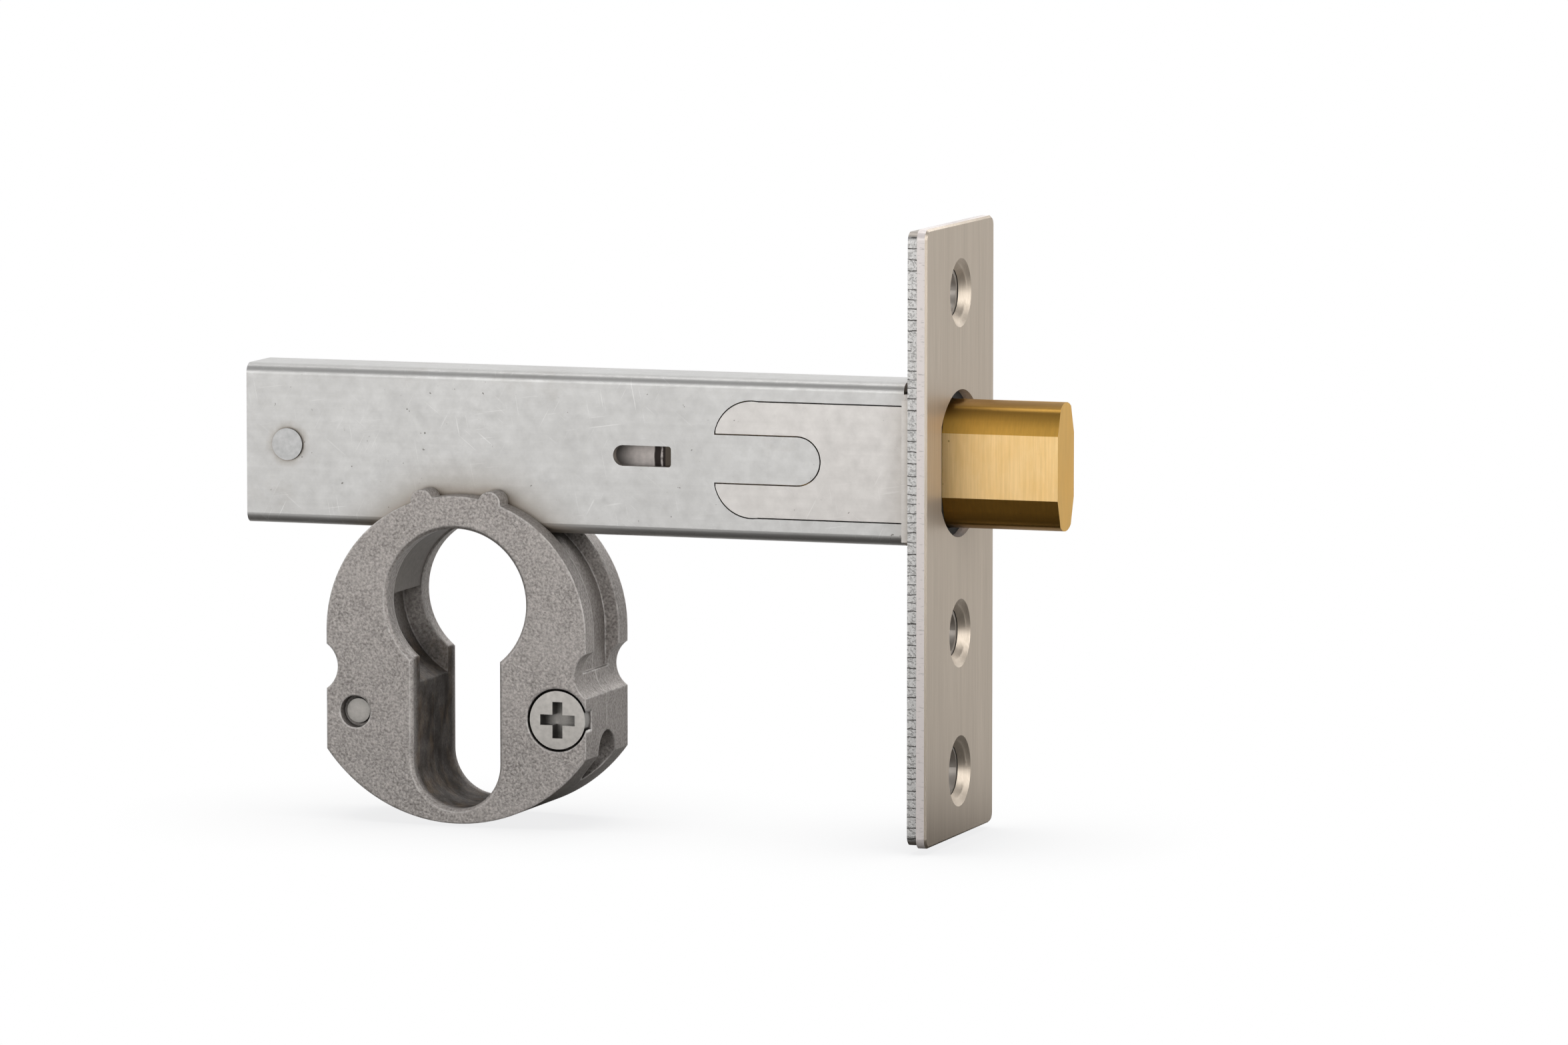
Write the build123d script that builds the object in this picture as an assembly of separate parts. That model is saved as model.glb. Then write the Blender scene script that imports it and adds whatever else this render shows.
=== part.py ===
import os
from math import asin, cos, degrees, radians, sin

from build123d import *

os.makedirs("parts", exist_ok=True)

# Frame: X along the bolt and outward, Z up, origin on the bolt axis at the faceplate's front face

# Fits
running_gap = 0.05
sliding_gap = 0.1
lay_gap = 0.02
gate_gap = 0.3
sweep_gap = 0.3
cut_past = 1.0

# Faceplates
plate_width = 25.4
plate_top = 28.0
plate_bottom = -43.6
plate_corner_radius = 1.2
outer_plate_thickness = 1.2
inner_plate_thickness = 1.1
inner_plate_inset = 0.3
plate_edge_bevel = 0.25
plate_gap = 0.1
wood_screw_half_spacing = 19.85
wood_screw_hole_radius = 2.3
wood_screw_rim_radius = 4.0
fixing_screw_drop = 18.2
fixing_screw_hole_radius = 2.65
fixing_screw_rim_radius = 4.15
bolt_window_rise = 1.1
bolt_window_half_width = 7.1
guide_lip = 0.6

# Bolt
bolt_projection = 12.8
bolt_half_thickness = 3.15
bolt_flat_half_height = 3.75
bolt_half_height = 7.5
bolt_crown_half_width = 2.0
bolt_crown_drop = 0.6
bolt_rear = -35.2

# Case
case_rear = -87.5
case_front = -5.5
case_roof_gap = 0.95
case_wall = 1.05
case_bend_radius = 1.2
case_seam = 0.12
slot_rear = -41.3
slot_front = -34.1
slot_half_height = 1.22
slot_corner_radius = 0.35

# Front brackets
fork_tip = -28.6
fork_shoulder = -23.3
fork_edge_inset = 2.75
fork_tongue_end = -15.65
fork_tongue_half_height = 2.95
fork_gap = 0.15
bracket_bend_radius = 2.0
bracket_edge_inset = 1.3
bracket_flange_reach = 11.4

# Cylinder housing
bore_backset = 60.0
bore_height = -17.8
bore_radius = 8.75
stem_half_width = 5.45
stem_bottom = -42.3
bore_chamfer = 0.35
housing_thickness = 14.4
housing_top_wall = 3.85
housing_bottom_wall = 1.7
housing_side_wall = 7.55
housing_waist_inset = 1.8
housing_belly_radius = 20.2
notch_radius = 3.2
notch_depth = 1.4
notch_drop = 8.1
nub_radius = 1.35
nub_spread = 4.25
nub_sink = 0.7
fixing_passage_radius = 3.0

# Clamp screws
clamp_spread = 12.7
clamp_drop = 13.4
clamp_head_radius = 3.45
clamp_head_height = 1.9
clamp_head_sink = 0.15
clamp_counterbore_radius = 3.75
clamp_shank_radius = 1.45
clamp_tip_inset = 1.6
clamp_tip_stand = 0.5
clamp_tip_hole_radius = 1.92
cross_length = 4.3
cross_width = 1.25
cross_depth = 1.5

# Cam driver
driver_wall = 2.25
driver_half_thickness = 4.6
driver_bore_gap = 0.2
driver_arc_half_angle = 114.0
finger_half_thickness = 2.6
finger_neck_half_width = 1.25
finger_tip_radius = 2.0
finger_rise = 2.8

# Bolt tail
tail_thickness = 2.0
tail_heel = 5.6
tail_top = 5.4
tail_slot_depth = 8.4
gate_roof_gap = 0.5
gate_flare = 0.7
pin_radius = 1.2
pin_spread = 3.2
pin_middle = -0.6
pin_setback = 4.0
pin_inset = 0.25

# Rear rivet and spacer
rivet_margin = 5.25
rivet_shank_radius = 1.25
rivet_head_radius = 1.9
rivet_head_height = 0.3
spacer_radius = 2.6

# Friction spring
spring_thickness = 0.4
spring_width = 5.0
spring_curl_gap = 0.03
spring_curl_turn = 200.0
spring_rise_run = 6.25
spring_knee_run = 14.25
spring_touch_lead = 5.0
spring_toe_run = 3.5
spring_toe_rise = 1.4

# Sizes that follow from the ones above
half_inner = bolt_half_thickness + sliding_gap
half_case = half_inner + case_wall
case_thickness = 2 * half_case
half_inner_height = bolt_half_height + case_roof_gap
case_height = 2 * (half_inner_height + case_wall)
fork_half_height = case_height / 2 - fork_edge_inset
bracket_flange_half_height = case_height / 2 - bracket_edge_inset
bolt_window_radius = bolt_half_height + bolt_window_rise
inner_plate_front = -outer_plate_thickness - plate_gap
plate_back = inner_plate_front - inner_plate_thickness
bore_x = -bore_backset
fixing_screw_height = bore_height - fixing_screw_drop
housing_top = bore_height + bore_radius + housing_top_wall
housing_bottom = stem_bottom - housing_bottom_wall
belly_height = housing_bottom + housing_belly_radius
housing_half_width = bore_radius + housing_side_wall
crown_height = housing_top - housing_half_width
notch_height = bore_height - notch_drop
half_housing = housing_thickness / 2
nub_height = housing_top - nub_sink
clamp_height = bore_height - clamp_drop
driver_inner_radius = bore_radius + driver_bore_gap
driver_outer_radius = driver_inner_radius + driver_wall
finger_pitch_radius = driver_outer_radius + finger_rise
throw_angle = degrees(asin(bolt_projection / 2 / finger_pitch_radius))
gate_x = bore_x + bolt_projection / 2
gate_half = finger_tip_radius + gate_gap
gate_top = bore_height + finger_pitch_radius + finger_tip_radius + gate_roof_gap
tail_bottom = bore_height + driver_outer_radius + sweep_gap
tail_rear = gate_x - gate_half - tail_heel
tail_slot_end = bolt_rear + tail_slot_depth
tail_front = tail_slot_end - sweep_gap
pin_line = bolt_rear + pin_setback
rivet_x = case_rear + rivet_margin


def side_plane(y):
    return Plane(origin=(0, y, 0), x_dir=(1, 0, 0), z_dir=(0, -1, 0))


def front_plane(x):
    return Plane(origin=(x, 0, 0), x_dir=(0, 1, 0), z_dir=(1, 0, 0))


def across(sketch, near, far):
    return extrude(side_plane(far) * sketch, amount=far - near)


def along(sketch, rear, front):
    return extrude(front_plane(rear) * sketch, amount=front - rear)


def box(x_span, y_span, z_span):
    size = [high - low for low, high in (x_span, y_span, z_span)]
    middle = [(high + low) / 2 for low, high in (x_span, y_span, z_span)]
    return Pos(*middle) * Box(*size)


def double_d(radius, half_width):
    return Circle(radius) & Rectangle(2 * half_width, 2 * radius)


def crossbar(x, z, radius, near, far):
    return across(Pos(x, z) * Circle(radius), near, far)


def faceplate_outline(inset):
    width = plate_width - 2 * inset
    height = plate_top - plate_bottom - 2 * inset
    middle = (plate_top + plate_bottom) / 2
    return Pos(0, middle) * RectangleRounded(width, height, plate_corner_radius)


def countersink(z, hole_radius, rim_radius):
    depth = rim_radius - hole_radius
    cone = Cone(hole_radius, rim_radius, depth)
    return Pos(-depth / 2, 0, z) * Rot(0, 90, 0) * cone


def screw_hole(z, radius):
    return along(Pos(0, z) * Circle(radius), 2 * plate_back, -plate_back)


# Outer faceplate
outer_faceplate = along(faceplate_outline(0), -outer_plate_thickness, 0)
outer_faceplate = chamfer(outer_faceplate.faces().sort_by(Axis.X)[-1].edges(), plate_edge_bevel)
window = double_d(bolt_window_radius, bolt_window_half_width)
outer_faceplate -= along(window, plate_back, -plate_back)
for z in (wood_screw_half_spacing, -wood_screw_half_spacing):
    outer_faceplate -= countersink(z, wood_screw_hole_radius, wood_screw_rim_radius)
    outer_faceplate -= screw_hole(z, wood_screw_hole_radius)
outer_faceplate -= countersink(fixing_screw_height, fixing_screw_hole_radius, fixing_screw_rim_radius)
outer_faceplate -= screw_hole(fixing_screw_height, fixing_screw_hole_radius)

# Inner faceplate
inner_faceplate = along(faceplate_outline(inner_plate_inset), plate_back, inner_plate_front)
guide_radius = bolt_window_radius + guide_lip
guide_half_width = bolt_window_half_width + guide_lip
guide_seat = double_d(guide_radius + lay_gap, guide_half_width + lay_gap)
inner_faceplate -= along(guide_seat, 2 * plate_back, 0)
for z in (wood_screw_half_spacing, -wood_screw_half_spacing):
    inner_faceplate -= screw_hole(z, wood_screw_hole_radius)
inner_faceplate -= screw_hole(fixing_screw_height, fixing_screw_hole_radius)


# Bolt section: ground flats, bevelled shoulders and a rounded crown
def bolt_section(gap):
    side = bolt_half_thickness + gap
    foot = bolt_flat_half_height
    top = bolt_half_height + gap
    crown = (bolt_crown_half_width + gap, top - bolt_crown_drop)
    right = Line((side, -foot), (side, foot))
    rise = Line((side, foot), crown)
    cap = ThreePointArc(crown, (0, top), (-crown[0], crown[1]))
    fall = mirror(rise, about=Plane.YZ)
    left = mirror(right, about=Plane.YZ)
    low = [mirror(edge, about=Plane.XZ) for edge in (rise, cap, fall)]
    return make_face([right, rise, cap, fall, left] + low)


deadbolt = along(bolt_section(0), bolt_rear, bolt_projection)
half_tail = tail_thickness / 2
tail_slot = half_tail + running_gap
deadbolt -= box((bolt_rear - cut_past, tail_slot_end), (-tail_slot, tail_slot), (-case_height, case_height))
pin_heights = {"upper_tail_pin": pin_middle + pin_spread, "lower_tail_pin": pin_middle - pin_spread}
for z in pin_heights.values():
    deadbolt -= crossbar(pin_line, z, pin_radius + lay_gap, -half_case, half_case)

# Bolt guide
bolt_guide = along(double_d(guide_radius, guide_half_width), plate_back, -outer_plate_thickness)
tongue_width = 2 * (half_inner - lay_gap)
tongue_height = 2 * (half_inner_height - lay_gap)
bolt_guide += along(Rectangle(tongue_width, tongue_height), fork_tongue_end, plate_back)
bolt_guide -= along(bolt_section(sliding_gap), fork_tip, bolt_projection)
shoulder_span = (-bolt_flat_half_height, bolt_flat_half_height)
bolt_guide -= box((fork_tip, plate_back), (-case_thickness, case_thickness), shoulder_span)


# Fork-shaped leg of a front bracket
def fork(gap):
    tip = fork_tip - gap
    half = fork_half_height + gap
    inner = fork_tongue_half_height - gap
    reach = fork_shoulder - gap
    upper = Line((tip, inner), (tip, inner + slot_corner_radius))
    sweep_mid = (
        reach - (reach - tip) * sin(radians(45)),
        half - (half - inner - slot_corner_radius) * (1 - cos(radians(45))),
    )
    sweep = ThreePointArc((tip, inner + slot_corner_radius), sweep_mid, (reach, half))
    top = Line((reach, half), (case_front, half))
    front = Line((case_front, half), (case_front, -half))
    low = [mirror(edge, about=Plane.XZ) for edge in (top, sweep, upper)]
    round_start = fork_tongue_end - fork_tongue_half_height
    mouth_top = Line((tip, inner), (round_start, inner))
    mouth_low = mirror(mouth_top, about=Plane.XZ)
    mouth = ThreePointArc((round_start, inner), (round_start + inner, 0), (round_start, -inner))
    return make_face([upper, sweep, top, front] + low + [mouth_top, mouth, mouth_low])


# Bend and flange of a front bracket, drawn from above
bend_x = plate_back - case_wall - bracket_bend_radius
bend_y = -half_case - bracket_bend_radius
bend_outer = bracket_bend_radius + case_wall
diagonal = sin(radians(45))
flange_section = make_face(
    [
        Line((case_front, -half_case), (bend_x, -half_case)),
        ThreePointArc(
            (bend_x, -half_case),
            (bend_x + bracket_bend_radius * diagonal, bend_y + bracket_bend_radius * diagonal),
            (bend_x + bracket_bend_radius, bend_y),
        ),
        Line((bend_x + bracket_bend_radius, bend_y), (plate_back - case_wall, -bracket_flange_reach)),
        Line((plate_back - case_wall, -bracket_flange_reach), (plate_back, -bracket_flange_reach)),
        Line((plate_back, -bracket_flange_reach), (plate_back, bend_y)),
        ThreePointArc(
            (plate_back, bend_y),
            (bend_x + bend_outer * diagonal, bend_y + bend_outer * diagonal),
            (bend_x, -half_inner),
        ),
        Line((bend_x, -half_inner), (case_front, -half_inner)),
        Line((case_front, -half_inner), (case_front, -half_case)),
    ]
)
flange = extrude(flange_section, amount=2 * bracket_flange_half_height)
flange = Pos(0, 0, -bracket_flange_half_height) * flange
near_bracket = across(fork(0), -half_case, -half_inner) + flange
far_bracket = mirror(near_bracket, about=Plane.XZ)

# Lock case, one folded strip with its seam underneath
case_outer = RectangleRounded(case_thickness, case_height, case_bend_radius)
case_inner = Rectangle(2 * half_inner, 2 * half_inner_height)
lock_case = along(case_outer - case_inner, case_rear, case_front)
lock_case -= across(fork(fork_gap), -case_thickness, case_thickness)
half_seam = case_seam / 2
lock_case -= box((case_rear - cut_past, 0), (-half_seam, half_seam), (-case_height, 0))
slot_length = slot_front - slot_rear
slot_round = Pos(slot_rear + slot_half_height, 0) * Circle(slot_half_height)
slot_square_length = slot_length - slot_half_height
slot_square_middle = slot_front - slot_square_length / 2
slot_square = Pos(slot_square_middle, 0) * Rectangle(slot_square_length, 2 * slot_half_height)
slot_square = fillet(slot_square.vertices().group_by(Axis.X)[-1], slot_corner_radius)
lock_case -= across(slot_round + slot_square, -case_thickness, -half_inner / 2)
lock_case -= crossbar(rivet_x, 0, rivet_shank_radius + lay_gap, -case_thickness, case_thickness)
driver_sweep = driver_outer_radius + sweep_gap
lock_case -= crossbar(bore_x, bore_height, driver_sweep, -case_thickness, case_thickness)

# Cylinder housing outline with side flats, side notches and two nubs on top
notch_shift = housing_half_width + notch_radius - notch_depth
notches = [Pos(bore_x + side * notch_shift, notch_height) * Circle(notch_radius) for side in (-1, 1)]


def rounded_body(inset):
    half_width = housing_half_width - inset
    crown = Pos(bore_x, crown_height) * Circle(half_width)
    disc = Pos(bore_x, belly_height) * Circle(housing_belly_radius - inset)
    belly_middle = crown_height - housing_belly_radius
    belly = Pos(bore_x, belly_middle) * Rectangle(2 * half_width, 2 * housing_belly_radius)
    return crown + (disc & belly) - notches[0] - notches[1]


housing_outline = rounded_body(0)
housing_reach = 2 * housing_belly_radius
below_notch = Pos(bore_x, notch_height - housing_belly_radius) * Rectangle(2 * housing_reach, housing_reach)
body_outline = (housing_outline & below_notch) + rounded_body(housing_waist_inset)
case_floor = -case_height / 2 - lay_gap
under_case = Pos(bore_x, case_floor - housing_belly_radius) * Rectangle(2 * housing_reach, housing_reach)
body_outline = body_outline & under_case

# Key-shaped opening for the lock cylinder
stem_centre = stem_bottom + stem_half_width
stem_length = bore_height - stem_centre
cylinder_head = Pos(bore_x, bore_height) * Circle(bore_radius)
cylinder_foot = Pos(bore_x, stem_centre) * Circle(stem_half_width)
cylinder_stem = Pos(bore_x, bore_height - stem_length / 2) * Rectangle(2 * stem_half_width, stem_length)
cylinder_profile = cylinder_head + cylinder_foot + cylinder_stem

case_side = half_case + lay_gap
clamp_right = bore_x + clamp_spread
clamp_left = bore_x - clamp_spread
head_seat = half_housing - clamp_head_sink - clamp_head_height
shank_hole_radius = clamp_shank_radius + running_gap


def housing_half():
    half = across(housing_outline - cylinder_profile, -half_housing, -case_side)
    lip = half.faces().sort_by(Axis.Y)[0].inner_wires()[0]
    half = chamfer(lip.edges(), bore_chamfer)
    for side in (-1, 1):
        half += crossbar(bore_x + side * nub_spread, nub_height, nub_radius, -half_housing, -case_side)
    half += across(body_outline - cylinder_profile, -case_side, 0)
    cavity_radius = driver_outer_radius + running_gap
    cavity_half = driver_half_thickness + sliding_gap
    half -= crossbar(bore_x, bore_height, cavity_radius, -cavity_half, cavity_half)
    half -= crossbar(clamp_right, clamp_height, clamp_counterbore_radius, -housing_thickness, -head_seat)
    half -= crossbar(clamp_right, clamp_height, shank_hole_radius, -housing_thickness, cut_past)
    half -= crossbar(clamp_left, clamp_height, shank_hole_radius, -housing_thickness, cut_past)
    tip_seat = half_housing - clamp_tip_inset
    half -= crossbar(clamp_left, clamp_height, clamp_tip_hole_radius, -housing_thickness, -tip_seat)
    return half


# The far half is the same casting turned over, then both are drilled for the fixing screw
passage = along(Pos(0, fixing_screw_height) * Circle(fixing_passage_radius), bore_x, 0)
turn_over = Pos(bore_x, 0, 0) * Rot(0, 0, 180) * Pos(bore_backset, 0, 0)
near_housing = housing_half() - passage
far_housing = turn_over * housing_half() - passage


# Clamp screw with a cross recess, its head on the near side
def clamp_screw():
    face = -half_housing + clamp_head_sink
    tip = half_housing - clamp_tip_inset + clamp_tip_stand
    head = crossbar(clamp_right, clamp_height, clamp_head_radius, face, -head_seat)
    shank = crossbar(clamp_right, clamp_height, clamp_shank_radius, -head_seat, tip)
    bar = Rectangle(cross_length, cross_width)
    cross = Pos(clamp_right, clamp_height) * (bar + Rot(0, 0, 90) * bar)
    return head + shank - across(cross, face - cut_past, face + cross_depth)


near_clamp_screw = clamp_screw()
far_clamp_screw = turn_over * clamp_screw()

# Cam driver: an open ring round the cylinder with one finger, finger upright before it is turned
reach = 2 * driver_outer_radius
mouth_angle = radians(driver_arc_half_angle)
mouth = Polyline(
    (0, 0),
    (reach * sin(mouth_angle), reach * cos(mouth_angle)),
    (reach, -reach),
    (-reach, -reach),
    (-reach * sin(mouth_angle), reach * cos(mouth_angle)),
    (0, 0),
)
ring = Circle(driver_outer_radius) - Circle(driver_inner_radius) - make_face(mouth)
neck_length = finger_pitch_radius - driver_inner_radius
neck = Pos(0, driver_inner_radius + neck_length / 2) * Rectangle(2 * finger_neck_half_width, neck_length)
neck -= Circle(driver_inner_radius)
finger = neck + Pos(0, finger_pitch_radius) * Circle(finger_tip_radius)
set_ring = Pos(bore_x, bore_height) * Rot(0, 0, -throw_angle) * ring
set_finger = Pos(bore_x, bore_height) * Rot(0, 0, -throw_angle) * finger
cam_driver = across(set_ring, -driver_half_thickness, driver_half_thickness)
cam_driver += across(set_finger, -finger_half_thickness, finger_half_thickness)

# Bolt tail with the gate that takes the finger
tail_length = tail_front - tail_rear
tail_height = tail_top - tail_bottom
tail_place = Pos((tail_front + tail_rear) / 2, (tail_top + tail_bottom) / 2)
tail_outline = tail_place * Rectangle(tail_length, tail_height)
gate = make_face(
    Polyline(
        (gate_x - gate_half, gate_top),
        (gate_x + gate_half, gate_top),
        (gate_x + gate_half, tail_bottom + gate_flare),
        (gate_x + gate_half + gate_flare, tail_bottom),
        (gate_x + gate_half + gate_flare, tail_bottom - cut_past),
        (gate_x - gate_half - gate_flare, tail_bottom - cut_past),
        (gate_x - gate_half - gate_flare, tail_bottom),
        (gate_x - gate_half, tail_bottom + gate_flare),
        (gate_x - gate_half, gate_top),
    )
)
tail_outline -= gate
for z in pin_heights.values():
    tail_outline -= Pos(pin_line, z) * Circle(pin_radius + lay_gap)
bolt_tail = across(tail_outline, -half_tail, half_tail)
pin_half = bolt_half_thickness - pin_inset
tail_pins = {
    name: crossbar(pin_line, z, pin_radius, -pin_half, pin_half) for name, z in pin_heights.items()
}

# Rear rivet and the spacer tube that keeps the case from being pinched
rivet_end = half_case + rivet_head_height
rivet_head = crossbar(rivet_x, 0, rivet_head_radius, -rivet_end, -half_case)
rear_rivet = crossbar(rivet_x, 0, rivet_shank_radius, -half_case, half_case)
rear_rivet = rear_rivet + rivet_head + mirror(rivet_head, about=Plane.XZ)
spacer_half = half_inner - lay_gap
rear_spacer = crossbar(rivet_x, 0, spacer_radius, -spacer_half, spacer_half)
rear_spacer -= crossbar(rivet_x, 0, rivet_shank_radius + lay_gap, -case_thickness, case_thickness)

# Friction spring: curled round the spacer, leaning on the case roof, rubbing on the tail
half_strip = spring_thickness / 2
curl_radius = spacer_radius + spring_curl_gap + half_strip
roof = half_inner_height - lay_gap - half_strip
rub = tail_top + lay_gap + half_strip
curl = CenterArc((rivet_x, 0), curl_radius, 90, spring_curl_turn)
leaf = Polyline(
    (rivet_x, curl_radius),
    (rivet_x + spring_rise_run, roof),
    (rivet_x + spring_knee_run, roof),
    (bore_x + spring_touch_lead, rub),
    (bore_x + spring_touch_lead + spring_toe_run, rub + spring_toe_rise),
)
strip = trace(curl, spring_thickness) + trace(leaf, spring_thickness)
friction_spring = across(strip, -spring_width / 2, spring_width / 2)

pieces = {
    "outer_faceplate": outer_faceplate,
    "inner_faceplate": inner_faceplate,
    "bolt_guide": bolt_guide,
    "near_bracket": near_bracket,
    "far_bracket": far_bracket,
    "lock_case": lock_case,
    "near_housing": near_housing,
    "far_housing": far_housing,
    "near_clamp_screw": near_clamp_screw,
    "far_clamp_screw": far_clamp_screw,
    "rear_rivet": rear_rivet,
    "rear_spacer": rear_spacer,
    "friction_spring": friction_spring,
    "cam_driver": cam_driver,
    "deadbolt": deadbolt,
    "bolt_tail": bolt_tail,
}
pieces.update(tail_pins)
for name, piece in pieces.items():
    export_step(piece, "parts/" + name + ".step")
    print(name, round(piece.volume), piece.bounding_box().size)
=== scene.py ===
import bpy
import math
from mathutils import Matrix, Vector


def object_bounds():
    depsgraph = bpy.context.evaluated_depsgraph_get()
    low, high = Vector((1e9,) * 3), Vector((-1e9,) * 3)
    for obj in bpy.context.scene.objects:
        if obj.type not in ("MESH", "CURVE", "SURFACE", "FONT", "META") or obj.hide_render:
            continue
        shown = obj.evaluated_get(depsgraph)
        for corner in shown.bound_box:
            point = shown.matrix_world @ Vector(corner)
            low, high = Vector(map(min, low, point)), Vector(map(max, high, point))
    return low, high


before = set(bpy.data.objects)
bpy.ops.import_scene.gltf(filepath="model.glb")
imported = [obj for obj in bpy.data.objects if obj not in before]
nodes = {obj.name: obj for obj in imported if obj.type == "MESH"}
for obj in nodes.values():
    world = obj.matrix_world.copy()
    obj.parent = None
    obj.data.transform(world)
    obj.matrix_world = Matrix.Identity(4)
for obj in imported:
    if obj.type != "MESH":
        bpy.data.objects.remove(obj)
cadLow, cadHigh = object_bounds()

sampleCounts = {"shelter": 8, "edges": 6}
mixSockets = {"RGBA": (6, 7, 2), "VECTOR": (4, 5, 1)}  # first, second and result of a Mix node
black = (0.0, 0.0, 0.0)
rightAngle = 90.0


def isSocket(value):
    return hasattr(value, "is_linked")


def shaded(colour, level):
    return tuple(level * part for part in colour)


# One material and the node steps that the finishes are made of
class Graph:
    def __init__(self, name):
        self.material = bpy.data.materials.new(name)
        self.material.use_nodes = True
        self.tree = self.material.node_tree
        self.shader = self.tree.nodes["Principled BSDF"]
        self.coords = self.add("ShaderNodeTexCoord").outputs["Object"]

    def add(self, kind, **values):
        node = self.tree.nodes.new(kind)
        for key, value in values.items():
            setattr(node, key, value)
        return node

    def link(self, source, target):
        self.tree.links.new(source, target)

    def put(self, socket, value):
        if isSocket(value):
            self.link(value, socket)
        else:
            socket.default_value = value

    def tint(self, socket, colour):
        self.put(socket, colour if isSocket(colour) else (*colour, 1.0))

    # Object coordinates turned about Y, then stretched; each turn also starts elsewhere
    def stretched(self, scale, turn):
        shiftPerDegree = 0.01
        turned = self.add("ShaderNodeMapping")
        self.link(self.coords, turned.inputs["Vector"])
        turned.inputs["Rotation"].default_value = (0.0, math.radians(turn), 0.0)
        turned.inputs["Location"].default_value = (shiftPerDegree * turn, 0.0, 0.0)
        mapping = self.add("ShaderNodeMapping")
        self.link(turned.outputs["Vector"], mapping.inputs["Vector"])
        mapping.inputs["Scale"].default_value = scale
        return mapping.outputs["Vector"]

    def noise(self, scale, detail=4.0, rough=0.55, stretch=(1.0, 1.0, 1.0), turn=0.0):
        node = self.add("ShaderNodeTexNoise")
        self.link(self.stretched(stretch, turn), node.inputs["Vector"])
        node.inputs["Scale"].default_value = scale
        node.inputs["Detail"].default_value = detail
        node.inputs["Roughness"].default_value = rough
        return node.outputs["Fac"]

    # Noise cut to a span, as a factor from 0 to 1
    def pattern(self, span, **noiseValues):
        return self.ramp(self.noise(**noiseValues), *span)

    def ramp(self, value, low, high):
        node = self.add("ShaderNodeMapRange")
        node.clamp = True
        self.link(value, node.inputs["Value"])
        node.inputs["From Min"].default_value = low
        node.inputs["From Max"].default_value = high
        return node.outputs["Result"]

    def calc(self, operation, *values):
        node = self.add("ShaderNodeMath", operation=operation)
        for socket, value in zip(node.inputs, values):
            self.put(socket, value)
        return node.outputs[0]

    def times(self, first, second):
        return self.calc("MULTIPLY", first, second)

    def mix(self, factor, first, second, kind="RGBA"):
        firstIn, secondIn, result = mixSockets[kind]
        node = self.add("ShaderNodeMix", data_type=kind)
        self.put(node.inputs["Factor"], factor)
        self.tint(node.inputs[firstIn], first)
        self.tint(node.inputs[secondIn], second)
        return node.outputs[result]

    # Lay a colour over the shade where the factor is, at most as strong as its share
    def lay(self, shade, factor, share, colour):
        return self.mix(self.times(factor, share), shade, colour)

    def part(self, vector, name):
        node = self.add("ShaderNodeSeparateXYZ")
        self.link(vector, node.inputs["Vector"])
        return node.outputs[name]

    def axis(self, name):
        return self.part(self.coords, name)

    def normal(self, kind="Normal"):
        return self.add("ShaderNodeNewGeometry").outputs[kind]

    def facing(self, name):
        return self.part(self.normal(), name)

    def across(self, name):
        return self.calc("ABSOLUTE", self.facing(name))

    def shelter(self, distance):
        node = self.add("ShaderNodeAmbientOcclusion", samples=sampleCounts["shelter"])
        node.inputs["Distance"].default_value = distance
        return node.outputs["AO"]

    # 1 on open surfaces, 0 in crevices of about the reach
    def exposed(self, reach, span):
        return self.ramp(self.shelter(reach), *span)

    def bump(self, height, depth, strength, under=None):
        node = self.add("ShaderNodeBump")
        self.link(height, node.inputs["Height"])
        node.inputs["Distance"].default_value = depth
        node.inputs["Strength"].default_value = strength
        if under is not None:
            self.link(under, node.inputs["Normal"])
        return node.outputs["Normal"]

    def finish(self, colour, roughness, metallic, normal):
        self.tint(self.shader.inputs["Base Color"], colour)
        self.put(self.shader.inputs["Roughness"], roughness)
        self.put(self.shader.inputs["Metallic"], metallic)
        self.link(normal, self.shader.inputs["Normal"])
        return self.material


print("stage: plain metals and nylon")
# Lengths in metres; side is the level of the painted shade on faces turned away from Y
blackNylon = {
    "colour": (0.008, 0.009, 0.009), "metallic": 0.0, "roughness": 0.75, "shelter": 0.0015, "side": 1.0,
}
screwNickel = {
    "colour": (0.69, 0.66, 0.62), "metallic": 0.9, "roughness": 0.3, "shelter": 0.0028, "side": 0.3,
}
rivetSteel = {
    "colour": (0.52, 0.52, 0.517), "metallic": 0.85, "roughness": 0.38, "shelter": 0.0015, "side": 0.6,
}
innerSteel = {
    "colour": (0.29, 0.265, 0.24), "metallic": 0.5, "roughness": 0.62, "shelter": 0.0015, "side": 0.8,
}
# The fine detail that these share
plainDetail = {
    "fine": {"scale": 1800.0, "span": (0.3, 0.7)},
    "fineLevel": 0.8,
    "cloud": {"scale": 420.0, "detail": 3.0, "span": (0.35, 0.65)},
    "cloudShare": 0.25,
    "cloudLevel": 0.7,
    "turnedShadeSpan": (0.8, 0.4),
    "openSpan": (0.25, 0.85),
    "creviceShadeLevel": 0.12,
    "grain": {"scale": 2600.0, "detail": 3.0},
    "grainDepth": 0.000008,
    "grainStrength": 0.6,
}


def plainShade(graph, values):
    colour = values["colour"]
    fine = graph.pattern(**plainDetail["fine"])
    cloud = graph.pattern(**plainDetail["cloud"])
    shade = graph.mix(fine, shaded(colour, plainDetail["fineLevel"]), colour)
    shade = graph.lay(shade, cloud, plainDetail["cloudShare"], shaded(colour, plainDetail["cloudLevel"]))
    # Painted shade on faces turned away from Y, down to the side level
    turned = graph.ramp(graph.across("Y"), *plainDetail["turnedShadeSpan"])
    shade = graph.lay(shade, turned, 1.0 - values["side"], black)
    # Painted shade in crevices, found by ambient occlusion
    unshaded = graph.exposed(values["shelter"], plainDetail["openSpan"])
    return graph.mix(unshaded, shaded(colour, plainDetail["creviceShadeLevel"]), shade)


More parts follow.
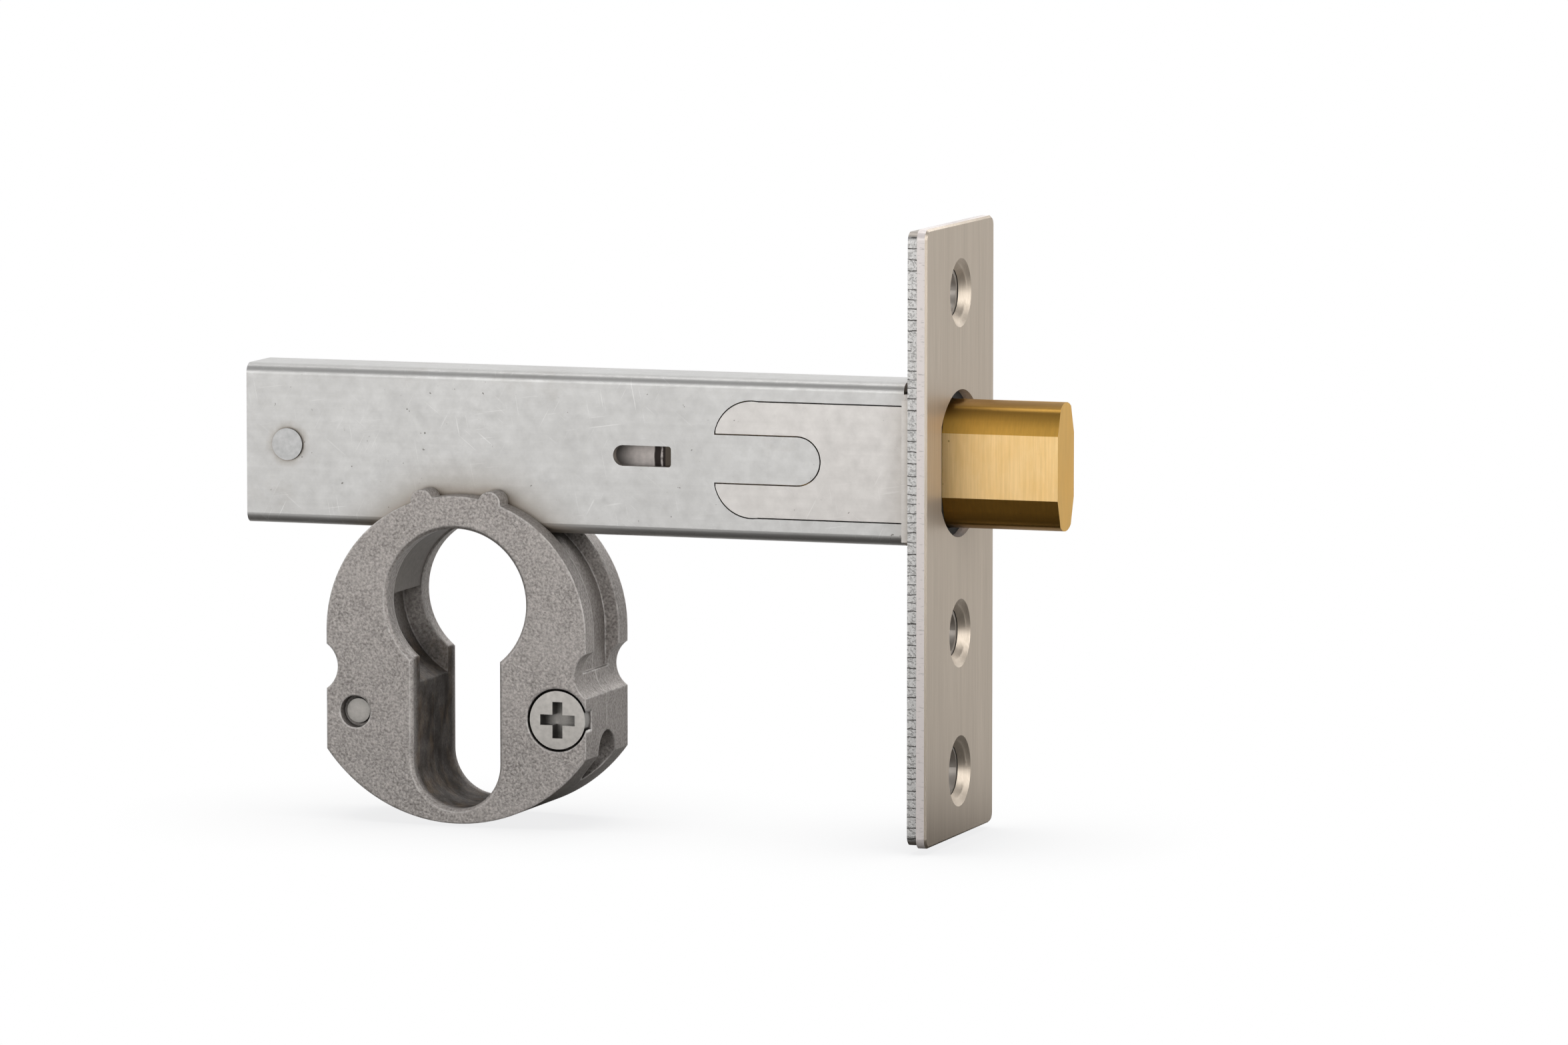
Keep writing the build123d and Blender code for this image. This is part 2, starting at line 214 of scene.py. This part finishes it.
def plainFinish(graph, values, shade):
    grain = graph.noise(**plainDetail["grain"])
    normal = graph.bump(grain, plainDetail["grainDepth"], plainDetail["grainStrength"])
    return graph.finish(shade, values["roughness"], values["metallic"], normal)


def plainMaterial(name, values):
    graph = Graph(name)
    return plainFinish(graph, values, plainShade(graph, values))


print("stage: tail")
tailSteel = {
    "colour": (0.6, 0.55, 0.52),
    "shadeAndGrease": (0.028, 0.02, 0.017),
    "metallic": 0.7,
    "roughness": 0.5,
    "shelter": 0.0006,
    "side": 1.0,
    "shadowFrom": -0.0372,
    "shadowBlur": 0.00012,
    "waver": {"scale": 900.0, "detail": 3.0},
    "waverReach": 0.0003,
    "glintAt": -0.03625,
    "glintHalf": 0.00016,
    "glintCore": 0.4,
    "glintBreaks": {"scale": 1500.0, "detail": 3.0, "span": (0.3, 0.5)},
}


# The tail is painted dark beside the bolt as painted shadow, with one thin painted highlight across it
def tailMaterial():
    graph = Graph("tailSteel")
    shade = plainShade(graph, tailSteel)
    waver = graph.noise(**tailSteel["waver"])
    along = graph.calc("MULTIPLY_ADD", waver, tailSteel["waverReach"], graph.axis("X"))
    shadowFrom, glintHalf = tailSteel["shadowFrom"], tailSteel["glintHalf"]
    # Painted shadow on the tail beside the bolt
    shadeAndGrease = graph.ramp(along, shadowFrom, shadowFrom + tailSteel["shadowBlur"])
    shade = graph.mix(shadeAndGrease, shade, tailSteel["shadeAndGrease"])
    # Thin painted highlight across the painted shadow, broken up
    offGlint = graph.calc("ABSOLUTE", graph.calc("SUBTRACT", along, tailSteel["glintAt"]))
    paintedGlint = graph.ramp(offGlint, glintHalf, tailSteel["glintCore"] * glintHalf)
    paintedGlint = graph.times(paintedGlint, graph.pattern(**tailSteel["glintBreaks"]))
    shade = graph.mix(paintedGlint, shade, tailSteel["colour"])
    return plainFinish(graph, tailSteel, shade)


print("stage: case and brackets")
caseSteel = {
    "colour": (0.61, 0.606, 0.595),
    "dark": (0.452, 0.446, 0.435),
    "stainAndShadow": (0.27, 0.23, 0.185),
    "scratch": (0.88, 0.875, 0.865),
    "markAndShade": (0.07, 0.058, 0.046),
    "metallic": 0.85,
    "roughness": 0.36,
    "smudge": {"scale": 75.0, "detail": 5.0, "span": (0.42, 0.72)},
    "smudgeShare": 0.4,
    "mottle": {"scale": 650.0, "detail": 6.0, "rough": 0.7, "turn": 33.0, "span": (0.25, 0.75)},
    "mottleShare": 0.62,
    "mottleRoughness": 0.1,
    "drawn": {"scale": 500.0, "rough": 0.6, "stretch": (0.06, 1.0, 4.0), "span": (0.35, 0.7)},
    "drawnShare": 0.22,
    "stains": {"scale": 110.0, "detail": 6.0, "rough": 0.65, "stretch": (1.0, 1.0, 1.3), "span": (0.6, 0.76)},
    "stainShare": 0.22,
    "speck": {"scale": 1500.0, "detail": 2.0, "span": (0.74, 0.78)},
    "speckShare": 0.7,
    "hair": {"scale": 900.0, "detail": 2.0, "rough": 0.5, "stretch": (0.16, 1.0, 4.5), "span": (0.68, 0.74)},
    "hairPatch": {"scale": 60.0, "detail": 3.0, "span": (0.4, 0.6)},
    "hairShare": 0.32,
    "hairTurns": (8.0, 62.0, -38.0, 101.0),
    "shelter": 0.005,
    "shelterSpan": (0.4, 0.97),
    "joint": 0.0006,
    "jointSpan": (0.2, 0.8),
    "rivetX": -0.08225,
    "rivetHalo": (0.0029, 0.0019),
    "haloBreaks": {"scale": 520.0, "span": (0.3, 0.65)},
    "haloShare": 0.8,
    "bendStart": (0.04, 0.4),
    "bendEnd": (0.86, 0.97),
    "bendShade": 0.12,
    "grain": {"scale": 2500.0, "detail": 3.0},
    "grainDepth": 0.000006,
    "grainStrength": 0.6,
}
bracketSteel = dict(caseSteel, colour=(0.665, 0.64, 0.615), dark=(0.508, 0.488, 0.468))


# Drawn steel strip: smudges, mottling, hairline scratches, dirt and painted shade in the joints, painted
# shadow in the wider hollows and painted shade on the upper bends
def caseMaterial(name, values):
    graph = Graph(name)
    mottle = graph.pattern(**values["mottle"])
    smudge = graph.pattern(**values["smudge"])
    shade = graph.lay(values["colour"], smudge, values["smudgeShare"], values["dark"])
    shade = graph.lay(shade, mottle, values["mottleShare"], values["dark"])
    shade = graph.lay(shade, graph.pattern(**values["drawn"]), values["drawnShare"], values["dark"])
    shade = graph.lay(shade, graph.pattern(**values["stains"]), values["stainShare"], values["stainAndShadow"])
    patch = graph.pattern(**values["hairPatch"])
    for turn in values["hairTurns"]:
        hair = graph.times(graph.pattern(turn=turn, **values["hair"]), patch)
        shade = graph.lay(shade, hair, values["hairShare"], values["scratch"])
    shade = graph.lay(shade, graph.pattern(**values["speck"]), values["speckShare"], values["markAndShade"])
    # Painted shadow in the wider hollows, such as beside the housing, in the same brown as the stains
    shade = graph.mix(graph.exposed(values["shelter"], values["shelterSpan"]), values["stainAndShadow"], shade)
    # Darker brown ring about the rivet's head, broken up
    flatten = graph.add("ShaderNodeVectorMath", operation="MULTIPLY")
    graph.link(graph.coords, flatten.inputs[0])
    flatten.inputs[1].default_value = (1.0, 0.0, 1.0)
    fromRivet = graph.add("ShaderNodeVectorMath", operation="DISTANCE")
    graph.link(flatten.outputs[0], fromRivet.inputs[0])
    fromRivet.inputs[1].default_value = (values["rivetX"], 0.0, 0.0)
    halo = graph.ramp(fromRivet.outputs["Value"], *values["rivetHalo"])
    halo = graph.times(halo, graph.pattern(**values["haloBreaks"]))
    shade = graph.lay(shade, halo, values["haloShare"], values["stainAndShadow"])
    # Dirt and painted shade in the joints
    shade = graph.mix(graph.exposed(values["joint"], values["jointSpan"]), values["markAndShade"], shade)
    # The upper bends get painted shade, a little darker than the flats beside them
    upward = graph.facing("Z")
    bendStart = graph.ramp(upward, *values["bendStart"])
    bend = graph.calc("SUBTRACT", bendStart, graph.ramp(upward, *values["bendEnd"]))
    shade = graph.lay(shade, bend, values["bendShade"], values["markAndShade"])
    rough = graph.calc("MULTIPLY_ADD", mottle, values["mottleRoughness"], values["roughness"])
    normal = graph.bump(graph.noise(**values["grain"]), values["grainDepth"], values["grainStrength"])
    return graph.finish(shade, rough, values["metallic"], normal)


print("stage: faceplates")
plateSteel = {
    "colour": (0.68, 0.67, 0.655),
    "face": (0.4, 0.365, 0.33),
    "grit": (0.2, 0.195, 0.188),
    "tickShade": (0.05, 0.046, 0.042),
    "metallic": 0.75,
    "roughness": 0.44,
    "edgeLine": 0.0122,
    "tick": 0.00118,
    "tickWidth": 0.11,
    "tickShare": 0.9,
    "tickWaver": {"scale": 700.0, "detail": 3.0, "rough": 0.6},
    "tickWaverReach": 0.00035,
    "tickDrift": {"scale": 150.0, "detail": 2.0, "rough": 0.5, "stretch": (0.1, 0.1, 1.0)},
    "tickDriftReach": 0.0022,
    "tickBreaks": {"scale": 620.0, "detail": 2.0, "span": (0.3, 0.42)},
    "grain": {"scale": 4200.0, "rough": 0.7, "span": (0.36, 0.66)},
    "grainLevel": 0.75,
    "gritGrain": {"scale": 3000.0, "detail": 3.0, "rough": 0.6, "span": (0.5, 0.62)},
    "gritShare": 0.45,
    "gritDepth": -0.00002,
    "gritStrength": 0.8,
    "joint": 0.0008,
    "jointSpan": (0.15, 0.6),
}


# Sheared inner plate: gritty cut edges with thin tear marks across them, darker faces that are partly painted
# shade in the screw holes, and painted shade in narrow gaps
def innerPlateMaterial():
    graph = Graph("plateSteel")
    values = plateSteel
    onEdge = graph.calc("GREATER_THAN", graph.calc("ABSOLUTE", graph.axis("Y")), values["edgeLine"])
    drift = graph.noise(**values["tickDrift"])
    along = graph.calc("MULTIPLY_ADD", drift, values["tickDriftReach"], graph.axis("Z"))
    along = graph.calc("MULTIPLY_ADD", graph.noise(**values["tickWaver"]), values["tickWaverReach"], along)
    phase = graph.calc("FRACT", graph.calc("DIVIDE", along, values["tick"]))
    tick = graph.times(graph.calc("LESS_THAN", phase, values["tickWidth"]), onEdge)
    tick = graph.times(tick, graph.pattern(**values["tickBreaks"]))
    grit = graph.times(graph.pattern(**values["gritGrain"]), onEdge)
    grain = graph.pattern(**values["grain"])
    shade = graph.mix(grain, shaded(values["colour"], values["grainLevel"]), values["colour"])
    # Darker, warmer faces: a nickel tone, partly painted shade where they show in the screw holes
    shade = graph.mix(onEdge, values["face"], shade)
    shade = graph.lay(shade, grit, values["gritShare"], values["grit"])
    shade = graph.lay(shade, tick, values["tickShare"], values["tickShade"])
    # Painted shade in narrow gaps, found by ambient occlusion
    shade = graph.mix(graph.exposed(values["joint"], values["jointSpan"]), values["tickShade"], shade)
    normal = graph.bump(grit, values["gritDepth"], values["gritStrength"])
    return graph.finish(shade, values["roughness"], values["metallic"], normal)


satinNickel = {
    "colour": (0.535, 0.466, 0.388),
    "dark": (0.41, 0.353, 0.289),
    "edge": (0.76, 0.7, 0.675),
    "edgeMark": (0.33, 0.305, 0.29),
    "markAndShade": (0.06, 0.05, 0.04),
    "metallic": 0.85,
    "edgeMetallic": 0.35,
    "roughness": 0.42,
    "brushed": 0.6,
    "edgeFacing": 0.3,
    "brush": {"scale": 5200.0, "detail": 3.0, "rough": 0.6, "stretch": (1.0, 1.0, 0.02)},
    "brushSpan": (0.3, 0.72),
    "brushShare": 0.75,
    "brushRoughness": 0.06,
    "brushDepth": 0.000008,
    "brushStrength": 0.5,
    "band": {"scale": 700.0, "detail": 3.0, "rough": 0.6, "stretch": (1.0, 1.0, 0.03), "span": (0.3, 0.7)},
    "bandShare": 0.55,
    "nick": {"scale": 2600.0, "detail": 3.0, "rough": 0.6, "stretch": (0.35, 1.0, 1.6), "span": (0.58, 0.7)},
    "nickShare": 0.55,
    "joint": 0.0004,
    "jointSpan": (0.1, 0.6),
}


# Satin nickel: brushed up and down, with paler cut edges that are partly painted light, and painted shade in
# the joints
def nickelMaterial():
    graph = Graph("satinNickel")
    values = satinNickel
    onEdge = graph.calc("LESS_THAN", graph.across("X"), values["edgeFacing"])
    brush = graph.noise(**values["brush"])
    line = graph.ramp(brush, *values["brushSpan"])
    shade = graph.lay(values["colour"], line, values["brushShare"], values["dark"])
    shade = graph.lay(shade, graph.pattern(**values["band"]), values["bandShare"], values["dark"])
    # Paler cut edges: partly their own tone, partly painted light
    side = graph.lay(values["edge"], graph.pattern(**values["nick"]), values["nickShare"], values["edgeMark"])
    shade = graph.mix(onEdge, shade, side)
    # Painted shade in the joints, found by ambient occlusion, kept off the cut edges
    unshaded = graph.calc("MAXIMUM", graph.exposed(values["joint"], values["jointSpan"]), onEdge)
    shade = graph.mix(unshaded, values["markAndShade"], shade)
    rough = graph.calc("MULTIPLY_ADD", line, values["brushRoughness"], values["roughness"])
    lessMetal = values["edgeMetallic"] - values["metallic"]
    metallic = graph.calc("MULTIPLY_ADD", onEdge, lessMetal, values["metallic"])
    graph.shader.inputs["Anisotropic"].default_value = values["brushed"]
    normal = graph.bump(brush, values["brushDepth"], values["brushStrength"])
    return graph.finish(shade, rough, metallic, normal)


print("stage: housing")
castZinc = {
    "colour": (0.605, 0.562, 0.533),
    "dark": (0.195, 0.178, 0.165),
    "wornAndGlint": (0.78, 0.755, 0.73),
    "markAndShade": (0.03, 0.022, 0.015),
    "shadeAndGrease": (0.022, 0.014, 0.008),
    "brownGrease": (0.125, 0.085, 0.05),
    "metallic": 0.55,
    "roughness": 0.52,
    "greaseRoughness": 0.9,
    "specular": 0.3,
    "grain": {"scale": 3300.0, "detail": 5.0, "rough": 0.65},
    "grainSpan": (0.34, 0.66),
    "grainDepth": 0.00007,
    "grainStrength": 0.9,
    "cloud": {"scale": 160.0, "span": (0.3, 0.7)},
    "cloudShare": 0.35,
    "cloudDepth": 0.00012,
    "cloudStrength": 0.4,
    "pit": {"scale": 1700.0, "detail": 3.0, "rough": 0.6, "span": (0.68, 0.75)},
    "pitShare": 0.45,
    "turnedShadeSpan": (0.85, 0.45),
    "sideShade": 0.7,
    "edgeRound": 0.00035,
    "edgeLean": (0.995, 0.9),
    "edgeBreaks": {"scale": 900.0, "detail": 3.0, "span": (0.3, 0.6)},
    "edgeShare": 0.75,
    "shelter": 0.008,
    "shelterSpan": (0.04, 0.4),
    "boreX": -0.06,
    "boreZ": -0.0178,
    "boreReach": 0.0119,
    "boreDepth": (0.0056, 0.0044),
    "boreShadeAndGrease": 0.1,
    "seatShadeAndGrease": 0.85,
    "seatSpan": (-0.0215, -0.0245),
    "stemHalf": (0.00565, 0.0055),
    "stemTop": -0.0235,
    "stemFoot": -0.0424,
    "stemDepth": (0.0071, 0.0055),
    "smear": {"scale": 380.0, "span": (0.35, 0.65)},
    "smearLeast": 0.65,
    "smearMore": 0.3,
    "brown": {"scale": 520.0, "detail": 5.0, "rough": 0.6, "stretch": (1.0, 1.0, 0.5), "span": (0.48, 0.68)},
}


# How dark the inside of the opening is, as greasy dirt and painted shade: much in the stem and low in the
# seat, little above, and more deeper inside
def boreShadeAndGrease(graph):
    values = castZinc
    across = graph.calc("SUBTRACT", graph.axis("X"), values["boreX"])
    above = graph.calc("SUBTRACT", graph.axis("Z"), values["boreZ"])
    depth = graph.calc("ABSOLUTE", graph.axis("Y"))
    inStem = graph.ramp(graph.calc("ABSOLUTE", across), *values["stemHalf"])
    inStem = graph.times(inStem, graph.calc("LESS_THAN", graph.axis("Z"), values["stemTop"]))
    inStem = graph.times(inStem, graph.calc("GREATER_THAN", graph.axis("Z"), values["stemFoot"]))
    squares = graph.calc("ADD", graph.calc("POWER", across, 2.0), graph.calc("POWER", above, 2.0))
    inBore = graph.calc("LESS_THAN", graph.calc("SQRT", squares), values["boreReach"])
    stemShadeAndGrease = graph.times(inStem, graph.ramp(depth, *values["stemDepth"]))
    low = graph.ramp(graph.axis("Z"), *values["seatSpan"])
    more = values["seatShadeAndGrease"] - values["boreShadeAndGrease"]
    share = graph.calc("MULTIPLY_ADD", low, more, values["boreShadeAndGrease"])
    roundGrease = graph.times(graph.ramp(depth, *values["boreDepth"]), share)
    shadeAndGrease = graph.calc("MAXIMUM", stemShadeAndGrease, graph.times(inBore, roundGrease))
    smear = graph.pattern(**values["smear"])
    smear = graph.calc("MULTIPLY_ADD", smear, values["smearMore"], values["smearLeast"])
    return graph.times(shadeAndGrease, smear)


# Die-cast zinc: fine grain, bright edges that are partly wear and partly painted highlight, painted shade on
# the sides and in hollows, and greasy dirt with painted shade inside the opening
def zincMaterial():
    graph = Graph("castZinc")
    values = castZinc
    grain = graph.noise(**values["grain"])
    cloud = graph.pattern(**values["cloud"])
    shade = graph.mix(graph.ramp(grain, *values["grainSpan"]), values["dark"], values["colour"])
    shade = graph.lay(shade, cloud, values["cloudShare"], values["colour"])
    shade = graph.lay(shade, graph.pattern(**values["pit"]), values["pitShare"], values["markAndShade"])
    # Painted shade on faces turned away from Y
    turned = graph.ramp(graph.across("Y"), *values["turnedShadeSpan"])
    shade = graph.lay(shade, turned, 1.0 - values["sideShade"], values["markAndShade"])
    # Edges show wear, and get a painted highlight, where the rounded normal leans away from the true one
    rounded = graph.add("ShaderNodeBevel", samples=sampleCounts["edges"])
    rounded.inputs["Radius"].default_value = values["edgeRound"]
    lean = graph.add("ShaderNodeVectorMath", operation="DOT_PRODUCT")
    graph.link(rounded.outputs["Normal"], lean.inputs[0])
    graph.link(graph.normal("True Normal"), lean.inputs[1])
    wornAndGlint = graph.ramp(lean.outputs["Value"], *values["edgeLean"])
    wornAndGlint = graph.times(wornAndGlint, graph.pattern(**values["edgeBreaks"]))
    shade = graph.lay(shade, wornAndGlint, values["edgeShare"], values["wornAndGlint"])
    # Painted shade in hollows, found by ambient occlusion
    shade = graph.mix(graph.exposed(values["shelter"], values["shelterSpan"]), values["markAndShade"], shade)
    shadeAndGrease = boreShadeAndGrease(graph)
    shadeAndGreaseColour = graph.mix(graph.pattern(**values["brown"]), values["shadeAndGrease"], values["brownGrease"])
    # Greasy dirt and painted shade inside the opening
    shade = graph.mix(shadeAndGrease, shade, shadeAndGreaseColour)
    rougher = values["greaseRoughness"] - values["roughness"]
    rough = graph.calc("MULTIPLY_ADD", shadeAndGrease, rougher, values["roughness"])
    metallic = graph.times(graph.calc("SUBTRACT", 1.0, shadeAndGrease), values["metallic"])
    graph.shader.inputs["Specular IOR Level"].default_value = values["specular"]
    normal = graph.bump(grain, values["grainDepth"], values["grainStrength"], rounded.outputs["Normal"])
    normal = graph.bump(cloud, values["cloudDepth"], values["cloudStrength"], normal)
    return graph.finish(shade, rough, metallic, normal)


print("stage: bolt")
boltBrass = {
    "flatPaintedLight": (0.895, 0.63, 0.3),
    "round": (0.72, 0.405, 0.08),
    "endPaintedShade": (0.65, 0.405, 0.12),
    "spotAndShade": (0.3, 0.17, 0.04),
    "insideShade": (0.075, 0.062, 0.05),
    "markAndShade": (0.05, 0.028, 0.008),
    "metallic": 0.95,
    "roughness": 0.4,
    "brushed": 0.9,
    "flatFacing": (0.97, 0.99),
    "endFacing": (0.6, 0.8),
    "brush": {"scale": 4200.0, "rough": 0.65, "stretch": (1.0, 0.4, 0.04)},
    "brushSpan": (0.3, 0.7),
    "brushShare": 0.22,
    "brushDepth": 0.00001,
    "brushStrength": 0.5,
    "blot": {"scale": 420.0, "rough": 0.6, "stretch": (1.0, 1.0, 0.6), "span": (0.4, 0.7)},
    "blotShare": 0.22,
    "spots": {"scale": 1300.0, "detail": 3.0, "rough": 0.6, "span": (0.7, 0.75)},
    "spotShare": 0.7,
    "insideShadeSpan": (-0.031, -0.032),
    "joint": 0.0004,
    "jointSpan": (0.1, 0.6),
    "shoulder": (0.00375, 0.0075),
    "crowning": 3.2,
    "crownSpan": (0.4, 0.7),
    "crownShade": 0.7,
    "leanLeast": 0.26,
    "leanMore": 1.31,
}


# The shoulders are ground slightly round, so their shading turns with the height
def crownedNormal(graph, rise, onShoulder):
    crowning = graph.calc("POWER", rise, boltBrass["crowning"])
    lean = graph.calc("MULTIPLY_ADD", crowning, boltBrass["leanMore"], boltBrass["leanLeast"])
    outward = graph.times(graph.calc("COSINE", lean), graph.calc("SIGN", graph.axis("Y")))
    upward = graph.times(graph.calc("SINE", lean), graph.calc("SIGN", graph.axis("Z")))
    crowned = graph.add("ShaderNodeCombineXYZ")
    graph.link(outward, crowned.inputs["Y"])
    graph.link(upward, crowned.inputs["Z"])
    return graph.mix(onShoulder, graph.normal(), crowned.outputs["Vector"], "VECTOR")


# Brushed brass: fine upright lines and a few dark spots, with paler flats as painted light, deeper shoulders
# and front face as painted shade, and painted shade on the part kept inside the case
def brassMaterial():
    graph = Graph("boltBrass")
    values = boltBrass
    onFlat = graph.ramp(graph.across("Y"), *values["flatFacing"])
    onEnd = graph.ramp(graph.across("X"), *values["endFacing"])
    brush = graph.noise(**values["brush"])
    # Lit and shaded copies of the brass: painted light on the flats, painted shade on the shoulders and the
    # front face
    shade = graph.mix(onFlat, values["round"], values["flatPaintedLight"])
    shade = graph.mix(onEnd, shade, values["endPaintedShade"])
    shade = graph.lay(shade, graph.ramp(brush, *values["brushSpan"]), values["brushShare"], values["spotAndShade"])
    shade = graph.lay(shade, graph.pattern(**values["blot"]), values["blotShare"], values["round"])
    shade = graph.lay(shade, graph.pattern(**values["spots"]), values["spotShare"], values["spotAndShade"])
    # Painted shade on the part kept inside the case
    shade = graph.mix(graph.ramp(graph.axis("X"), *values["insideShadeSpan"]), shade, values["insideShade"])
    # Painted shade next to the plate and in joints, found by ambient occlusion
    shade = graph.mix(graph.exposed(values["joint"], values["jointSpan"]), values["markAndShade"], shade)
    rise = graph.ramp(graph.calc("ABSOLUTE", graph.axis("Z")), *values["shoulder"])
    onShoulder = graph.calc("SUBTRACT", graph.calc("SUBTRACT", 1.0, onFlat), onEnd)
    # Painted shade high on the shoulders, to dim their highlight
    paintedCrownShade = graph.times(graph.ramp(rise, *values["crownSpan"]), onShoulder)
    shade = graph.lay(shade, paintedCrownShade, values["crownShade"], values["spotAndShade"])
    crowned = crownedNormal(graph, rise, onShoulder)
    normal = graph.bump(brush, values["brushDepth"], values["brushStrength"], crowned)
    graph.shader.inputs["Anisotropic"].default_value = values["brushed"]
    return graph.finish(shade, values["roughness"], values["metallic"], normal)


print("stage: finishes on the pieces")
finishes = {
    "lock_case": caseMaterial("caseSteel", caseSteel),
    "near_bracket": caseMaterial("bracketSteel", bracketSteel),
    "bolt_tail": tailMaterial(),
    "outer_faceplate": nickelMaterial(),
    "inner_faceplate": innerPlateMaterial(),
    "deadbolt": brassMaterial(),
    "near_housing": zincMaterial(),
    "bolt_guide": plainMaterial("blackNylon", blackNylon),
    "near_clamp_screw": plainMaterial("screwNickel", screwNickel),
    "rear_rivet": plainMaterial("rivetSteel", rivetSteel),
    "cam_driver": plainMaterial("innerSteel", innerSteel),
}
finishes["far_housing"] = finishes["near_housing"]
finishes["far_clamp_screw"] = finishes["near_clamp_screw"]
finishes["far_bracket"] = finishes["near_bracket"]
for nodeName in ("rear_spacer", "friction_spring", "upper_tail_pin", "lower_tail_pin"):
    finishes[nodeName] = finishes["cam_driver"]
for nodeName, material in finishes.items():
    mesh = nodes[nodeName].data
    mesh.materials.clear()
    mesh.materials.append(material)

print("stage: floor and backdrop")
# Seen colours, what they bounce as diffuse light, and what metal mirrors of them
stageValues = {
    "size": 6.0,
    "drop": 0.0003,
    "backdropPlace": (0.0, 1.6, 1.5),
    "white": (1.0, 1.0, 1.0),
    "floorGrey": (0.1, 0.098, 0.095),
    "backGrey": (0.3, 0.3, 0.3),
    "glossFront": (1.0, 0.991, 0.978),
    "glossBehind": (0.84, 0.83, 0.82),
    "glossShadeUnder": (0.045, 0.04, 0.035),
    "glossBack": (0.94, 0.94, 0.94),
    "underReach": (0.1, 0.26),
    "behindReach": (0.0, 0.05),
    "shadow": (0.84, 0.84, 0.845),
    "shadowReach": 0.03,
    "shadowSpan": (0.45, 1.0),
    "shadowEnd": (0.2, 0.3),
}


def stagePlane(name, place, tilt):
    bpy.ops.mesh.primitive_plane_add(size=stageValues["size"], location=place, rotation=(tilt, 0.0, 0.0))
    plane = bpy.context.object
    plane.name = name
    return plane


# White to the camera, and another level in reflections
def stageMaterial(graph, bounce, mirrored, seen):
    path = graph.add("ShaderNodeLightPath")
    unseen = graph.add("ShaderNodeBsdfDiffuse")
    graph.tint(unseen.inputs["Color"], bounce)
    shader = unseen.outputs[0]
    for output, colour in (("Is Glossy Ray", mirrored), ("Is Camera Ray", seen)):
        glow = graph.add("ShaderNodeEmission")
        graph.tint(glow.inputs["Color"], colour)
        choice = graph.add("ShaderNodeMixShader")
        graph.link(path.outputs[output], choice.inputs[0])
        graph.link(shader, choice.inputs[1])
        graph.link(glow.outputs[0], choice.inputs[2])
        shader = choice.outputs[0]
    graph.link(shader, graph.tree.nodes["Material Output"].inputs["Surface"])
    return graph.material


# The floor mirrors a painted dark shade just below the lock and pale beyond, and shows the camera a painted
# soft shadow
def floorMaterial():
    graph = Graph("floorWhite")
    length = graph.add("ShaderNodeVectorMath", operation="LENGTH")
    graph.link(graph.coords, length.inputs[0])
    distance = length.outputs["Value"]
    away = graph.ramp(distance, *stageValues["underReach"])
    behind = graph.ramp(graph.axis("Y"), *stageValues["behindReach"])
    mirrored = graph.mix(away, stageValues["glossShadeUnder"], stageValues["glossFront"])
    mirrored = graph.mix(behind, mirrored, stageValues["glossBehind"])
    clear = graph.exposed(stageValues["shadowReach"], stageValues["shadowSpan"])
    clear = graph.calc("MAXIMUM", clear, graph.ramp(distance, *stageValues["shadowEnd"]))
    seen = graph.mix(clear, stageValues["shadow"], stageValues["white"])
    return stageMaterial(graph, stageValues["floorGrey"], mirrored, seen)


def backMaterial():
    graph = Graph("backWhite")
    return stageMaterial(graph, stageValues["backGrey"], stageValues["glossBack"], stageValues["white"])


bpy.ops.object.select_all(action="DESELECT")
floor = stagePlane("floor", (0.0, 0.0, cadLow.z - stageValues["drop"]), 0.0)
floor.data.materials.append(floorMaterial())
backdrop = stagePlane("backdrop", stageValues["backdropPlace"], math.radians(rightAngle))
backdrop.data.materials.append(backMaterial())

print("stage: light")
worldValues = {"colour": (0.4, 0.4, 0.405), "strength": 1.0}
lightValues = {
    "frontBox": {"place": (0.05, -1.5, 0.24), "aim": (-0.04, 0.0, 0.0), "size": (1.9, 0.56), "power": 9.0},
    "sideBox": {"place": (1.3, -0.35, 0.25), "aim": (0.0, 0.0, 0.0), "size": (0.9, 1.3), "power": 14.0},
    "backBox": {"place": (0.25, 1.35, 1.1), "aim": (-0.04, 0.0, 0.0), "size": (0.9, 0.6), "power": 8.0},
    "rearBox": {"place": (-1.3, 0.1, 0.45), "aim": (-0.04, 0.0, 0.0), "size": (0.9, 0.7), "power": 9.0},
    "topBox": {"place": (-0.2, 0.15, 1.3), "aim": (-0.04, 0.0, 0.0), "size": (0.8, 0.5), "power": 4.0},
}
world = bpy.data.worlds.new("studio")
world.use_nodes = True
background = world.node_tree.nodes["Background"]
background.inputs["Color"].default_value = (*worldValues["colour"], 1.0)
background.inputs["Strength"].default_value = worldValues["strength"]
bpy.context.scene.world = world
for lightName, values in lightValues.items():
    data = bpy.data.lights.new(lightName, "AREA")
    data.shape = "RECTANGLE"
    data.size, data.size_y = values["size"]
    data.energy = values["power"]
    lamp = bpy.data.objects.new(lightName, data)
    bpy.context.scene.collection.objects.link(lamp)
    lamp.location = values["place"]
    aim = Vector(values["aim"]) - Vector(values["place"])
    lamp.rotation_euler = aim.to_track_quat("-Z", "Y").to_euler()

print("stage: camera")
# Worked out from the photograph; angles in degrees
cameraValues = {
    "place": (0.3263, -1.0139, 0.1082),
    "yaw": 18.94,
    "pitch": 6.17,
    "lens": 211.9,
    "sensor": 36.0,
}
cameraData = bpy.data.cameras.new("photoCamera")
cameraData.lens = cameraValues["lens"]
cameraData.sensor_width = cameraValues["sensor"]
camera = bpy.data.objects.new("photoCamera", cameraData)
bpy.context.scene.collection.objects.link(camera)
camera.location = cameraValues["place"]
tilt = math.radians(rightAngle - cameraValues["pitch"])
camera.rotation_euler = (tilt, 0.0, math.radians(cameraValues["yaw"]))
bpy.context.scene.camera = camera
bpy.context.scene.view_settings.view_transform = "Standard"
